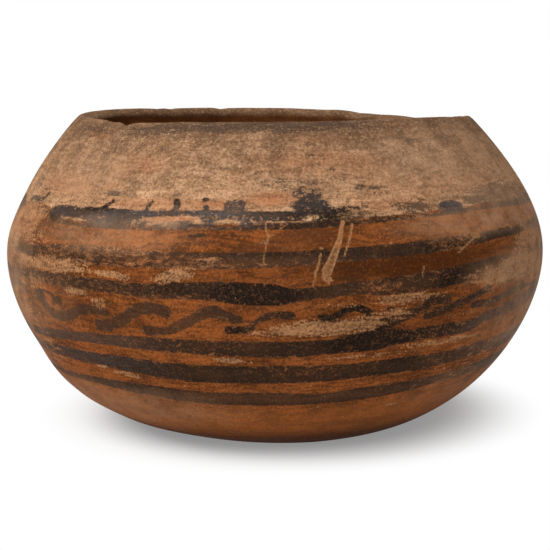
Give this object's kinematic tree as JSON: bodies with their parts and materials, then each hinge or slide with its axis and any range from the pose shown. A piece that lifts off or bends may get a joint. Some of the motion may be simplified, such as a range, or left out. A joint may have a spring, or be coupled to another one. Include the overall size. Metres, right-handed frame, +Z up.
{
  "type": "terracotta bowl",
  "caption": "Round-bellied, hand-built terracotta bowl with a flat base, an inward-turned shoulder, a wide open mouth and painted dark bands.",
  "frame": {"origin": "middle of the flat resting face, on the surface that the bowl stands on", "axes": "+Z up along the bowl's axis, -Y towards the front of the picture"},
  "size_m": [0.2198, 0.2198, 0.129],
  "materials": {
    "terracotta": "matt fired clay with slip and painted bands"
  },
  "bodies": {
    "root": {"base_dish": "terracotta", "wall_coil_1": "terracotta", "wall_coil_2": "terracotta", "wall_coil_3": "terracotta", "wall_coil_4": "terracotta", "wall_coil_5": "terracotta", "wall_coil_6": "terracotta", "wall_coil_7": "terracotta", "rim_coil": "terracotta"}
  },
  "joints": []
}
